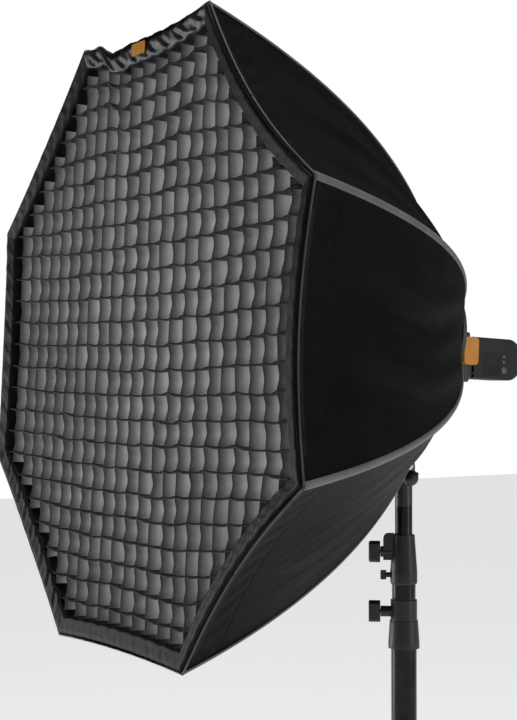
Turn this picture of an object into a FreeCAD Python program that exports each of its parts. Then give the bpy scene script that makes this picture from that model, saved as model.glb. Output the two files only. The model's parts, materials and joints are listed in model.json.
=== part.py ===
import FreeCAD, Part
import os
import re
import Sketcher
from math import atan2, cos, degrees, hypot, pi, radians, sin, sqrt, tan
from FreeCAD import Matrix, Placement, Rotation, Vector

# Folding octagonal softbox on a telescopic light stand, in millimetres.
# The box frame has its origin at the centre of the front octagon: x to the right, y into the
# box and z up.  The world frame has the column on the z axis and the floor at z = 0.

os.makedirs("parts", exist_ok=True)
doc = FreeCAD.newDocument("studio_softbox")
sheet = doc.addObject("Spreadsheet::Sheet", "Size")

SIZES = {
    # fabric shell
    "corner_radius": 533.5, "sag": 44, "shell_root": 124, "shell_depth": 581,
    "tip_slope": 71.6, "root_slope": 32, "tip_handle": 433, "root_handle": 110,
    "fabric": 1.5, "seam_gap": 0.5, "half_facet": 22.5,
    # rods and hub
    "rod_wire": 3.5, "rod_pivot": 106.7, "rod_tip": 522, "rod_tip_depth": 12,
    "rod_root_slope": 30.0, "rod_tip_slope": 69.2, "rod_bend_split": 0.76,
    "ferrule_half": 4.6, "ferrule_wide": 9.6, "ferrule_long": 35,
    "pin_radius": 2, "pin_bore": 2.05, "ear_bore": 2.03, "pin_long": 19,
    "ear_thick": 4, "ear_gap": 5.1, "ear_long": 17, "ear_deep": 15,
    "ring_outer": 110, "ring_inner": 90, "ring_front": 586.5, "ring_thick": 12,
    "plate_radius": 108, "plate_thick": 4,
    # front edge, grid and diffuser
    "edge_outer": 486.9, "edge_inner": 458.9, "edge_front": 0.5, "edge_thick": 3,
    "tab_wide": 43, "tab_low": 461.5, "tab_high": 489.5,
    "grid_apothem": 463, "grid_front": 4, "grid_deep": 40, "grid_pitch": 157.6, "grid_rim": 4,
    "diffuser_apothem": 456, "diffuser_front": 46, "diffuser_thick": 1,
    # tilt bracket
    "pivot_depth": 559, "pivot_drop": 192, "pitch": 2.72, "pivot_height": 1250,
    "knuckle_radius": 14, "knuckle_wide": 16, "tilt_pin_radius": 4, "tilt_bore": 4.05,
    "receiver_low": 1178, "receiver_roof": 1232, "receiver_top": 1235.5,
    "stud_radius": 8, "stud_bore": 8.1, "fork_gap": 8.3, "fork_outer": 15,
    "clamp_knob_drop": 20.8, "clamp_knob_radius": 14, "clamp_knob_out": 30.2, "clamp_knob_turn": -15,
    # flash
    "flash_axis": 6, "head_wide": 50, "head_tall": 74, "head_front": 588, "flash_front": 690,
    "flash_back": 806, "flash_wide": 58, "flash_tall": 76, "flash_round": 30, "wall": 2.5,
    "window_thick": 4, "sleeve_wide": 64, "sleeve_tall": 90, "sleeve_back": 676,
    "display_front": 712, "display_long": 40, "display_low": -25, "display_tall": 43,
    "control_depth": 761, "dial_radius": 6, "dial_height": -14, "button_radius": 3,
    "test_height": 1, "power_height": 11, "door_front": 700, "door_long": 56,
    "door_low": -20, "door_tall": 52,
    # column
    "base_outer": 22.6, "base_inner": 21.1, "base_low": 22, "base_top": 975,
    "mid_outer": 20.9, "mid_inner": 19.4, "mid_low": 330, "mid_top": 1080,
    "top_outer": 15.4, "top_inner": 13.9, "top_low": 560, "top_end": 1177.5,
    "clamp_screw": 4, "clamp_bore": 4.05, "boss_radius": 9.5, "boss_out": 41,
    "lug_half": 9, "lug_out": 36, "lug_round": 9, "tension_height": 1056, "clamp_step": 976,
    "lower_clamp_low": 927.6, "lower_clamp_top": 1012.4, "lower_knob_height": 991.5,
    "upper_clamp_low": 1040.7, "upper_clamp_top": 1127.4, "upper_knob_height": 1097,
    "clamp_turn": 231, "wing_in": 41.6, "wing_out": 62, "wing_half": 9.3, "wing_tall": 18.5,
    # legs
    "hinge_out": 45, "slider_low": 535, "slider_top": 600, "leg_top": 560, "foot_pivot": 42,
    "collar_outer": 30, "leg_angle": 42, "leg_size": 18, "leg_wall": 2, "foot_reach": 572.7,
    "foot_high": 22, "strap_in": 10, "strap_thick": 3, "strap_half": 7,
    "slider_turn": -60,
}

for row, (alias, value) in enumerate(SIZES.items(), start=1):
    sheet.set(f"A{row}", alias)
    sheet.set(f"B{row}", str(value))
    sheet.setAlias(f"B{row}", alias)
doc.recompute()

ALIAS = re.compile(r"\b(" + "|".join(sorted(SIZES, key=len, reverse=True)) + r")\b")


def bound(text):
    """An expression with every size alias written as a sheet reference."""
    return ALIAS.sub(r"Size.\1", str(text))


def size(alias):
    return float(sheet.get(alias))


# ---------------------------------------------------------------- sketches and features


def new_body(label, placement=None):
    body = doc.addObject("PartDesign::Body", label)
    body.Label = label
    body.Placement = placement or Placement()
    return body


def new_sketch(body, role, height="0", swing=0):
    """A sketch on one of the body's origin planes, lifted along the plane's normal."""
    plane = [f for f in body.Origin.OriginFeatures if f.Role == role][0]
    sketch = body.newObject("Sketcher::SketchObject", f"{body.Label}_sketch")
    sketch.AttachmentSupport = [(plane, "")]
    sketch.MapMode = "FlatFace"
    turned = Rotation(Vector(0, 1, 0), swing)
    if swing:
        lift = float(sheet.get(height)) if height in SIZES else float(height)
        sketch.AttachmentOffset = Placement(turned.multVec(Vector(0, 0, lift)), turned)
    else:
        sketch.setExpression(".AttachmentOffset.Base.z", bound(height))
    sketch.Visibility = False
    return sketch


def place_point(sketch, index, point, x, y):
    for kind, text in (("DistanceX", x), ("DistanceY", y)):
        number = sketch.addConstraint(Sketcher.Constraint(kind, -1, 1, index, point, 0.0))
        sketch.setExpression(f"Constraints[{number}]", bound(text))


def polygon(sketch, corners):
    """A closed outline; every corner is placed from the origin by two bound lengths."""
    first = sketch.GeometryCount
    count = len(corners)
    for k in range(count):
        a, b = 2 * pi * k / count, 2 * pi * (k + 1) / count
        start, end = Vector(9 * cos(a), 9 * sin(a), 0), Vector(9 * cos(b), 9 * sin(b), 0)
        sketch.addGeometry(Part.LineSegment(start, end))
    for k in range(count):
        after = first + (k + 1) % count
        sketch.addConstraint(Sketcher.Constraint("Coincident", first + k, 2, after, 1))
    for k, (x, y) in enumerate(corners):
        place_point(sketch, first + k, 1, x, y)


def circle(sketch, radius, x="0", y="0"):
    index = sketch.addGeometry(Part.Circle(Vector(0, 0, 0), Vector(0, 0, 1), 5))
    number = sketch.addConstraint(Sketcher.Constraint("Radius", index, 5.0))
    sketch.setExpression(f"Constraints[{number}]", bound(radius))
    place_point(sketch, index, 3, x, y)


def rectangle(sketch, low_x, low_y, high_x, high_y):
    polygon(sketch, [(low_x, low_y), (high_x, low_y), (high_x, high_y), (low_x, high_y)])


def pad(body, sketch, length, centred=False, backwards=False):
    feature = body.newObject("PartDesign::Pad", f"{body.Label}_pad")
    feature.Profile = sketch
    feature.setExpression("Length", bound(length))
    feature.Midplane = centred
    feature.Reversed = backwards
    return feature


def pocket(body, sketch, length, centred=False, backwards=False):
    feature = body.newObject("PartDesign::Pocket", f"{body.Label}_pocket")
    feature.Profile = sketch
    feature.setExpression("Length", bound(length))
    feature.Midplane = centred
    feature.Reversed = backwards
    return feature


def revolve(body, corners):
    """A turned part about the body's z axis from an outline of (radius, height) corners."""
    sketch = new_sketch(body, "XZ_Plane")
    polygon(sketch, corners)
    feature = body.newObject("PartDesign::Revolution", f"{body.Label}_turning")
    feature.Profile = sketch
    feature.ReferenceAxis = (sketch, ["V_Axis"])
    feature.Angle = 360
    return feature


def round_edges(body, feature, radius, wanted):
    """Rounds the edges whose midpoint and direction pass the test."""
    doc.recompute()
    names = []
    for number, edge in enumerate(feature.Shape.Edges, start=1):
        middle = edge.CenterOfMass
        along = edge.Vertexes[-1].Point - edge.Vertexes[0].Point
        if along.Length > 0 and wanted(middle, along.normalize()):
            names.append(f"Edge{number}")
    fillet = body.newObject("PartDesign::Fillet", f"{body.Label}_round")
    fillet.Base = (feature, names)
    fillet.setExpression("Radius", bound(radius))
    return fillet


def solid(kind, label, placement=None, **sizes):
    piece = doc.addObject(f"Part::{kind}", label)
    for name, text in sizes.items():
        piece.setExpression(name, bound(text))
    if placement:
        piece.Placement = placement
    return piece


def fuse(label, pieces):
    joined = doc.addObject("Part::MultiFuse", label)
    joined.Shapes = pieces
    return joined


def cut(label, base, tool):
    result = doc.addObject("Part::Cut", label)
    result.Base = base
    result.Tool = tool
    return result


# ---------------------------------------------------------------- frames

TILT = Rotation(Vector(1, 0, 0), -size("pitch"))
BOX = Placement(Vector(0, 0, size("pivot_height")), TILT).multiply(
    Placement(Vector(0, -size("pivot_depth"), size("pivot_drop")), Rotation())
)


def lift(radius):
    """The shell hangs from its hub, so the front sags: how far a ring sits above the front."""
    return size("sag") * (1 - radius / size("corner_radius")) / 0.8


def facet_frame(angle):
    """Local x along the facet, z outwards from the box axis, y into the box."""
    return BOX.multiply(Placement(Vector(0, 0, 0), Rotation(Vector(0, 1, 0), 90 - angle)))


def rod_ends(angle):
    """The rod's pivot and tip across the box, as (x, z) pairs."""
    ends = []
    for radius in (size("rod_pivot"), size("rod_tip")):
        height = radius * sin(radians(angle)) + lift(radius)
        ends.append((radius * cos(radians(angle)), height))
    return ends


def rod_frame(angle):
    """Origin at the rod's pivot, x outwards in the rod's plane, y forwards, z along the pin."""
    (x, z), (tip_x, tip_z) = rod_ends(angle)
    span = hypot(tip_x - x, tip_z - z)
    ux, uz = (tip_x - x) / span, (tip_z - z) / span
    depth = size("shell_depth")
    return BOX.multiply(
        Placement(Matrix(ux, 0, uz, x, 0, -1, 0, depth, uz, 0, -ux, z, 0, 0, 0, 1))
    )


def polar_place(out, height, turn):
    turned = Rotation(Vector(0, 0, 1), turn)
    return Placement(turned.multVec(Vector(out, 0, height)), turned)


ROD_ANGLES = [22.5 + 45 * k for k in range(8)]
FACET_ANGLES = [45 * k for k in range(8)]
LEG_TURNS = [90, 210, 330]
nodes = []

# ---------------------------------------------------------------- rods


def biarc(end, slope_start, slope_end, split):
    """Two arcs that meet smoothly: (centre, radius, start angle, end angle) for each."""
    t0 = Vector(cos(slope_start), sin(slope_start), 0)
    t1 = Vector(cos(slope_end), sin(slope_end), 0)
    a = 2 * split * (1 - t0.dot(t1))
    b = 2 * end.dot(t0 + t1 * split)
    first = (-b + sqrt(b * b + 4 * a * end.dot(end))) / (2 * a)
    second = split * first
    joint = (t0 * first * second + (end - t1 * second) * first) * (1 / (first + second))
    arcs = []
    for start, tangent, chord in ((Vector(), t0, joint), (end, t1, joint - end)):
        normal = Vector(-tangent.y, tangent.x, 0)
        radius = chord.dot(chord) / (2 * chord.dot(normal))
        arcs.append((start + normal * radius, radius))
    (c0, r0), (c1, r1) = arcs
    turns = []
    for centre, points in ((c0, (Vector(), joint)), (c1, (joint, end))):
        turns.append([atan2(p.y - centre.y, p.x - centre.x) for p in points])
    return [(c0, r0, *turns[0]), (c1, r1, *turns[1])]


def rod(number, angle):
    body = new_body(f"rod_{number}", rod_frame(angle))
    (x, z), (tip_x, tip_z) = rod_ends(angle)
    span = hypot(tip_x - x, tip_z - z)
    reach = size("shell_depth") - size("rod_tip_depth")
    stretch = span / (size("rod_tip") - size("rod_pivot"))
    slope_root = atan2(tan(radians(size("rod_root_slope"))), stretch)
    slope_tip = atan2(tan(radians(size("rod_tip_slope"))), stretch)
    sheet.set(f"D{number}", str(round(span, 4)))
    sheet.setAlias(f"D{number}", f"rod_span_{number}")
    doc.recompute()

    path = new_sketch(body, "XY_Plane")
    for centre, radius, start, end in biarc(
        Vector(span, reach, 0), slope_root, slope_tip, size("rod_bend_split")
    ):
        ring = Part.Circle(centre, Vector(0, 0, 1), radius)
        path.addGeometry(Part.ArcOfCircle(ring, start, end))
    path.addConstraint(Sketcher.Constraint("Coincident", 0, 1, -1, 1))
    path.addConstraint(Sketcher.Constraint("Tangent", 0, 2, 1, 1))
    for kind, text in (
        ("DistanceX", f"Size.rod_span_{number}"),
        ("DistanceY", "Size.shell_depth - Size.rod_tip_depth"),
    ):
        value = span if kind == "DistanceX" else reach
        where = path.addConstraint(Sketcher.Constraint(kind, -1, 1, 1, 2, value))
        path.setExpression(f"Constraints[{where}]", text)
    section = body.newObject("Sketcher::SketchObject", f"{body.Label}_section")
    section.AttachmentSupport = [(path, "Edge1")]
    section.MapMode = "NormalToEdge"
    section.MapPathParameter = 0.0
    section.Visibility = False
    circle(section, "rod_wire")
    wire = body.newObject("PartDesign::AdditivePipe", f"{body.Label}_wire")
    wire.Profile = section
    wire.Spine = (path, ["Edge1", "Edge2"])

    eye = new_sketch(body, "XY_Plane")
    circle(eye, "ferrule_half")
    pad(body, eye, "ferrule_wide", centred=True)
    ferrule = new_sketch(body, "XY_Plane")
    slope = degrees(slope_root)
    ferrule.AttachmentOffset = Placement(Vector(0, 0, 0), Rotation(Vector(0, 0, 1), slope))
    rectangle(ferrule, "0", "-ferrule_half", "ferrule_long", "ferrule_half")
    pad(body, ferrule, "ferrule_wide", centred=True)
    hole = new_sketch(body, "XY_Plane")
    circle(hole, "pin_bore")
    pocket(body, hole, "ferrule_wide*2", centred=True)
    nodes.append(body)


for number, angle in enumerate(ROD_ANGLES, start=1):
    rod(number, angle)

# ---------------------------------------------------------------- hub ring and rod pins

behind = Rotation(Vector(1, 0, 0), 90)


def along_box(depth):
    """Origin on the hub's axis at a depth, z pointing towards the front of the box."""
    return BOX.multiply(Placement(Vector(0, depth, size("sag")), behind))


ring_back = size("ring_front") + size("ring_thick")
ring_disc = solid("Cylinder", "ring_disc", along_box(ring_back), Radius="ring_outer",
                  Height="ring_thick")
ring_bore = solid("Cylinder", "ring_bore", along_box(ring_back + 5), Radius="ring_inner",
                  Height="ring_thick + 10")
ears, ear_holes, pins = [], [], []
for number, angle in enumerate(ROD_ANGLES, start=1):
    frame = rod_frame(angle)
    top = size("shell_depth") - size("ring_front") - 1
    for low in (size("ear_gap"), -size("ear_gap") - size("ear_thick")):
        corner = frame.multiply(Placement(Vector(-9.7, top, low), Rotation()))
        ears.append(solid("Box", f"ear_{number}", corner, Length="ear_long", Width="ear_deep",
                          Height="ear_thick"))
    half_pin = Vector(0, 0, -size("pin_long") / 2)
    across = frame.multiply(Placement(half_pin, Rotation()))
    ear_holes.append(solid("Cylinder", f"ear_hole_{number}", across, Radius="ear_bore",
                           Height="pin_long"))
    pins.append(solid("Cylinder", f"pin_{number}", across, Radius="pin_radius",
                      Height="pin_long"))
nodes.append(cut("hub_ring", fuse("ring_and_ears", [ring_disc] + ears),
                 fuse("ring_holes", [ring_bore] + ear_holes)))
rod_pins = doc.addObject("Part::Compound", "rod_pins")
rod_pins.Links = pins
nodes.append(rod_pins)

# ---------------------------------------------------------------- fabric shell


def ridge(t):
    """Radius and depth of a corner seam, from the front corner (t = 0) to the hub (t = 1)."""
    tip, root = radians(size("tip_slope")), radians(size("root_slope"))
    ends = [(size("corner_radius"), 0), (size("shell_root"), size("shell_depth"))]
    handles = [
        (ends[0][0] - size("tip_handle") * cos(tip), size("tip_handle") * sin(tip)),
        (ends[1][0] + size("root_handle") * cos(root),
         ends[1][1] - size("root_handle") * sin(root)),
    ]
    poles = [ends[0], handles[0], handles[1], ends[1]]
    weights = [(1 - t) ** 3, 3 * (1 - t) ** 2 * t, 3 * (1 - t) * t * t, t ** 3]
    radius = sum(w * p[0] for w, p in zip(weights, poles))
    depth = sum(w * p[1] for w, p in zip(weights, poles))
    return radius, depth


def shell_station(t):
    """Outer and inner (distance from the axis across the facet, depth) at one station."""
    flat = cos(radians(size("half_facet")))
    (r0, y0), (r1, y1) = ridge(max(t - 0.01, 0)), ridge(min(t + 0.01, 1))
    slope = atan2(y1 - y0, (r0 - r1) * flat)
    radius, depth = ridge(t)
    out = radius * flat
    inner = (out - size("fabric") * sin(slope), depth - size("fabric") * cos(slope))
    return (out, depth), inner


def shell_corner(angle, side, out, depth):
    """A point of a facet at one of its two long edges, in the box frame."""
    half = side * (out * tan(radians(size("half_facet"))) - size("seam_gap"))
    a = radians(angle)
    rise = lift(out / cos(radians(size("half_facet"))))
    return Vector(out * cos(a) - half * sin(a), depth, out * sin(a) + half * cos(a) + rise)


def face(points):
    return Part.Face(Part.makePolygon(points + points[:1]))


def gore(number, angle):
    """One trapezoid fabric panel, curved from the front edge to the hub."""
    stations = 12
    rings = []
    for k in range(stations):
        outer, inner = shell_station(k / (stations - 1))
        rings.append([
            shell_corner(angle, -1, *outer), shell_corner(angle, 1, *outer),
            shell_corner(angle, 1, *inner), shell_corner(angle, -1, *inner),
        ])
    faces = [face(rings[0]), face(rings[-1])]
    for here, after in zip(rings, rings[1:]):
        for k in range(4):
            m = (k + 1) % 4
            faces.append(face([here[k], here[m], after[m], after[k]]))
    panel = doc.addObject("Part::Feature", f"gore_{number}")
    panel.Shape = Part.makeSolid(Part.makeShell(faces))
    panel.Placement = BOX
    nodes.append(panel)


for number, angle in enumerate(FACET_ANGLES, start=1):
    gore(number, angle)

# ---------------------------------------------------------------- front edge, grid, diffuser


def front_edge(number, angle):
    """A mitred strip of hook tape inside the rim, which holds the grid and the diffuser."""
    body = new_body(f"front_edge_{number}", facet_frame(angle))
    sketch = new_sketch(body, "XZ_Plane", "-(edge_front + edge_thick)")
    outer, inner = "edge_outer*tan(half_facet) - seam_gap", "edge_inner*tan(half_facet) - seam_gap"
    polygon(sketch, [
        (f"-({outer})", "edge_outer"), (f"-({inner})", "edge_inner"),
        (inner, "edge_inner"), (outer, "edge_outer"),
    ])
    pad(body, sketch, "edge_thick")
    nodes.append(body)


for number, angle in enumerate(FACET_ANGLES, start=1):
    front_edge(number, angle)

pull_tab = new_body("pull_tab", facet_frame(90))
tab_outline = new_sketch(pull_tab, "XZ_Plane", "-edge_front")
rectangle(tab_outline, "-tab_wide/2", "tab_low", "tab_wide/2", "tab_high")
tab_pad = pad(pull_tab, tab_outline, "edge_thick")
round_edges(pull_tab, tab_pad, "edge_thick*2",
            lambda middle, along: abs(along.y) > 0.9 and middle.z < size("tab_low") + 1)
nodes.append(pull_tab)


def octagon(apothem, front, deep):
    """An octagonal prism with flats across the top, from a depth into the box."""
    reach = apothem / cos(radians(size("half_facet")))
    corners = [Vector(reach * cos(radians(a)), front, reach * sin(radians(a)))
               for a in ROD_ANGLES]
    return face(corners).extrude(Vector(0, deep, 0))


def grid_shape():
    """Egg-crate louvre: a rim and every fourth strip of the fabric lattice each way."""
    apothem, front, deep = size("grid_apothem"), size("grid_front"), size("grid_deep")
    whole = octagon(apothem, front, deep)
    strips = [whole.cut(octagon(apothem - size("grid_rim"), front - 1, deep + 2))]
    thick = size("fabric")
    for step in range(-2, 3):
        at = step * size("grid_pitch")
        strips.append(Part.makeBox(thick, deep, 2 * apothem, Vector(at - thick / 2, front, -apothem)))
        strips.append(Part.makeBox(2 * apothem, deep, thick, Vector(-apothem, front, at - thick / 2)))
    return strips[0].multiFuse(strips[1:]).common(whole).removeSplitter()


grid = doc.addObject("Part::Feature", "grid")
grid.Shape = grid_shape()
grid.Placement = BOX
nodes.append(grid)

diffuser = new_body("diffuser", BOX)
diffuser_outline = new_sketch(diffuser, "XZ_Plane", "-(diffuser_front + diffuser_thick)")
polygon(diffuser_outline, [
    (f"diffuser_apothem/cos(half_facet)*cos({a})", f"diffuser_apothem/cos(half_facet)*sin({a})")
    for a in ROD_ANGLES
])
pad(diffuser, diffuser_outline, "diffuser_thick")
nodes.append(diffuser)

# ---------------------------------------------------------------- hub plate and tilt arm

PLATE_BACK = "(ring_front + ring_thick + plate_thick)"
rear_plate = new_body("rear_plate", BOX)
disc = new_sketch(rear_plate, "XZ_Plane", f"-{PLATE_BACK}")
circle(disc, "plate_radius", "0", "sag")
rectangle(disc, "-head_wide/2 - 1", "flash_axis - head_tall/2 - 1",
          "head_wide/2 + 1", "flash_axis + head_tall/2 + 1")
pad(rear_plate, disc, "plate_thick")
flange = new_sketch(rear_plate, "XZ_Plane", f"-({PLATE_BACK} + 5.5)")
rectangle(flange, "-30", "-58", "30", "-40")
pad(rear_plate, flange, "5.5 + plate_thick/2")
arm = new_sketch(rear_plate, "YZ_Plane")
polygon(arm, [
    (f"{PLATE_BACK} - 1", "-40"), (f"{PLATE_BACK} + 10.5", "-40"),
    (f"{PLATE_BACK} + 10.5", "-122"), ("pivot_depth + 9.2", "-pivot_drop - 6"),
    ("pivot_depth - 9.2", "-pivot_drop + 6"), (f"{PLATE_BACK} - 1", "-106"),
])
pad(rear_plate, arm, "knuckle_wide", centred=True)
knuckle = new_sketch(rear_plate, "YZ_Plane")
circle(knuckle, "knuckle_radius", "pivot_depth", "-pivot_drop")
pad(rear_plate, knuckle, "knuckle_wide", centred=True)
knuckle_bore = new_sketch(rear_plate, "YZ_Plane")
circle(knuckle_bore, "tilt_bore", "pivot_depth", "-pivot_drop")
pocket(rear_plate, knuckle_bore, "knuckle_wide*2", centred=True)
nodes.append(rear_plate)

flash_sleeve = new_body("flash_sleeve", BOX)
sleeve_outline = new_sketch(flash_sleeve, "XZ_Plane", "-sleeve_back")
rectangle(sleeve_outline, "-sleeve_wide/2", "flash_axis - sleeve_tall/2",
          "sleeve_wide/2", "flash_axis + sleeve_tall/2")
rectangle(sleeve_outline, "-head_wide/2 - 0.5", "flash_axis - head_tall/2 - 0.5",
          "head_wide/2 + 0.5", "flash_axis + head_tall/2 + 0.5")
sleeve_pad = pad(flash_sleeve, sleeve_outline, f"sleeve_back - {PLATE_BACK}")
round_edges(flash_sleeve, sleeve_pad, "5",
            lambda middle, along: abs(along.y) > 0.9 and abs(middle.x) > size("sleeve_wide") / 2 - 1)
lever_hole = new_sketch(flash_sleeve, "YZ_Plane", "40")
circle(lever_hole, "tilt_bore", "sleeve_back - 14", "flash_axis")
pocket(flash_sleeve, lever_hole, "20")
nodes.append(flash_sleeve)

sleeve_lever = new_body("sleeve_lever", BOX)
lever_outline = new_sketch(sleeve_lever, "YZ_Plane", "33")
rectangle(lever_outline, "sleeve_back - 21", "-8", "sleeve_back + 12", "42")
lever_pad = pad(sleeve_lever, lever_outline, "10")
lever_shaft = new_sketch(sleeve_lever, "YZ_Plane", "34")
circle(lever_shaft, "tilt_pin_radius", "sleeve_back - 14", "flash_axis")
lever_shaft_pad = pad(sleeve_lever, lever_shaft, "7.5", backwards=True)
round_edges(sleeve_lever, lever_shaft_pad, "8",
            lambda middle, along: abs(along.x) > 0.9 and middle.x > 35)
nodes.append(sleeve_lever)

# ---------------------------------------------------------------- stand bracket

receiver = new_body("receiver")
tube = new_sketch(receiver, "XY_Plane", "receiver_low")
circle(tube, "top_outer")
circle(tube, "stud_bore")
pad(receiver, tube, "receiver_roof - receiver_low")
roof = new_sketch(receiver, "XY_Plane", "receiver_roof")
rectangle(roof, "-fork_outer", "-knuckle_radius", "fork_outer", "knuckle_radius")
pad(receiver, roof, "receiver_top - receiver_roof")
for side, backwards in (("fork_gap", False), ("-fork_gap", True)):
    prong = new_sketch(receiver, "YZ_Plane", side)
    rectangle(prong, "-knuckle_radius", "receiver_roof", "knuckle_radius", "pivot_height")
    pad(receiver, prong, "fork_outer - fork_gap", backwards=backwards)
    cheek = new_sketch(receiver, "YZ_Plane", side)
    circle(cheek, "knuckle_radius", "0", "pivot_height")
    pad(receiver, cheek, "fork_outer - fork_gap", backwards=backwards)
pin_hole = new_sketch(receiver, "YZ_Plane")
circle(pin_hole, "tilt_pin_radius + 0.03", "0", "pivot_height")
pocket(receiver, pin_hole, "fork_outer*3", centred=True)
screw_hole = new_sketch(receiver, "YZ_Plane", "24", swing=size("clamp_knob_turn"))
circle(screw_hole, "tilt_bore", "0", "pivot_height - clamp_knob_drop")
pocket(receiver, screw_hole, "18")
nodes.append(receiver)

tilt_pin = new_body("tilt_pin", Placement(Vector(0, 0, size("pivot_height")), Rotation()))
shank = new_sketch(tilt_pin, "YZ_Plane", "-24")
circle(shank, "tilt_pin_radius")
pad(tilt_pin, shank, "24 + fork_outer")
pin_head = new_sketch(tilt_pin, "YZ_Plane", "fork_outer")
circle(pin_head, "tilt_pin_radius*1.8")
pad(tilt_pin, pin_head, "3")
nodes.append(tilt_pin)

tilt_lever = new_body("tilt_lever", Placement(Vector(0, 0, size("pivot_height")), Rotation()))
lever_hub = new_sketch(tilt_lever, "YZ_Plane", "-(fork_outer + 0.3)")
circle(lever_hub, "9")
pad(tilt_lever, lever_hub, "9", backwards=True)
handle = new_sketch(tilt_lever, "YZ_Plane", "-(fork_outer + 3)")
polygon(handle, [("0", "-7"), ("46", "-26"), ("50", "-17"), ("0", "7")])
pad(tilt_lever, handle, "7", backwards=True)
lever_bore = new_sketch(tilt_lever, "YZ_Plane")
circle(lever_bore, "tilt_bore")
pocket(tilt_lever, lever_bore, "60", centred=True)
nodes.append(tilt_lever)

knob_place = Placement(
    Vector(0, 0, size("pivot_height") - size("clamp_knob_drop")),
    Rotation(Vector(0, 0, 1), size("clamp_knob_turn")),
)
outwards = Rotation(Vector(0, 1, 0), 90)
screw = solid("Cylinder", "clamp_knob_screw",
              knob_place.multiply(Placement(Vector(size("stud_radius") + 0.4, 0, 0), outwards)),
              Radius="tilt_pin_radius", Height="clamp_knob_out - stud_radius")
ball = solid("Sphere", "clamp_knob_ball",
             knob_place.multiply(Placement(Vector(size("clamp_knob_out"), 0, 0), Rotation())),
             Radius="clamp_knob_radius")
nodes.append(fuse("clamp_knob", [screw, ball]))

# ---------------------------------------------------------------- flash

flash_head = new_body("flash_head", BOX)
head_outline = new_sketch(flash_head, "XZ_Plane", "-flash_front")
rectangle(head_outline, "-head_wide/2", "flash_axis - head_tall/2",
          "head_wide/2", "flash_axis + head_tall/2")
head_pad = pad(flash_head, head_outline, "flash_front - head_front")
round_edges(flash_head, head_pad, "4", lambda middle, along: abs(along.y) > 0.9)
reflector = new_sketch(flash_head, "XZ_Plane", "-head_front")
rectangle(reflector, "-head_wide/2 + wall", "flash_axis - head_tall/2 + wall",
          "head_wide/2 - wall", "flash_axis + head_tall/2 - wall")
pocket(flash_head, reflector, "flash_front - head_front - 8")
nodes.append(flash_head)

flash_window = new_body("flash_window", BOX)
window_outline = new_sketch(flash_window, "XZ_Plane", "-head_front")
rectangle(window_outline, "-head_wide/2", "flash_axis - head_tall/2",
          "head_wide/2", "flash_axis + head_tall/2")
window_pad = pad(flash_window, window_outline, "window_thick")
round_edges(flash_window, window_pad, "4", lambda middle, along: abs(along.y) > 0.9)
nodes.append(flash_window)

flash_body = new_body("flash_body", BOX)
side_view = new_sketch(flash_body, "YZ_Plane")
rectangle(side_view, "flash_front", "flash_axis - flash_tall/2",
          "flash_back", "flash_axis + flash_tall/2")
casing = pad(flash_body, side_view, "flash_wide", centred=True)
rounded = round_edges(flash_body, casing, "flash_round",
                      lambda middle, along: abs(along.x) > 0.9 and middle.y > size("flash_back") - 1)
softened = round_edges(flash_body, rounded, "5",
                       lambda middle, along: abs(along.y) > 0.9
                       and abs(middle.x) > size("flash_wide") / 2 - 1
                       and middle.y < size("flash_back") - 30)
hollow = new_sketch(flash_body, "XZ_Plane", "-flash_front")
rectangle(hollow, "-flash_wide/2 + wall", "flash_axis - flash_tall/2 + wall",
          "flash_wide/2 - wall", "flash_axis + flash_tall/2 - wall")
pocket(flash_body, hollow, "flash_back - flash_front - 30")
bezel = new_sketch(flash_body, "YZ_Plane", "flash_wide/2 + 1")
rectangle(bezel, "display_front", "display_low", "display_front + display_long",
          "display_low + display_tall")
pocket(flash_body, bezel, "2.5")
for height, radius in (("dial_height", "dial_radius"), ("test_height", "button_radius"),
                       ("power_height", "button_radius")):
    hole = new_sketch(flash_body, "YZ_Plane", "flash_wide/2 + 1")
    circle(hole, f"{radius} + 0.08", "control_depth", height)
    pocket(flash_body, hole, "wall + 3")
door_hole = new_sketch(flash_body, "YZ_Plane", "-(flash_wide/2 + 1)")
rectangle(door_hole, "door_front", "door_low", "door_front + door_long", "door_low + door_tall")
pocket(flash_body, door_hole, "wall + 3", backwards=True)
nodes.append(flash_body)

flash_display = new_body("flash_display", BOX)
panel = new_sketch(flash_display, "YZ_Plane", "flash_wide/2 - 0.2")
rectangle(panel, "display_front + 0.3", "display_low + 0.3",
          "display_front + display_long - 0.3", "display_low + display_tall - 0.3")
pad(flash_display, panel, "1.3", backwards=True)
nodes.append(flash_display)

battery_door = new_body("battery_door", BOX)
door = new_sketch(battery_door, "YZ_Plane", "-flash_wide/2")
rectangle(door, "door_front + 0.4", "door_low + 0.4",
          "door_front + door_long - 0.4", "door_low + door_tall - 0.4")
pad(battery_door, door, "wall - 0.2")
nodes.append(battery_door)

mode_dial = new_body("mode_dial", BOX)
dial = new_sketch(mode_dial, "YZ_Plane", "flash_wide/2 - wall + 0.3")
circle(dial, "dial_radius", "control_depth", "dial_height")
pad(mode_dial, dial, "wall + 2.2")
pointer = new_sketch(mode_dial, "YZ_Plane", "flash_wide/2 + 2.6")
rectangle(pointer, "control_depth - 0.7", "dial_height", "control_depth + 0.7",
          "dial_height + dial_radius")
pocket(mode_dial, pointer, "1.2")
nodes.append(mode_dial)


def button(label, height):
    """A push button whose skirt stops it inside the casing."""
    body = new_body(label, BOX)
    cap = new_sketch(body, "YZ_Plane", "flash_wide/2 - wall - 1")
    circle(cap, "button_radius", "control_depth", height)
    pad(body, cap, "wall + 2.2")
    skirt = new_sketch(body, "YZ_Plane", "flash_wide/2 - wall - 2.3")
    circle(skirt, "button_radius + 1", "control_depth", height)
    pad(body, skirt, "2")
    nodes.append(body)


button("test_button", "test_height")
button("power_button", "power_height")

# ---------------------------------------------------------------- column


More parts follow.
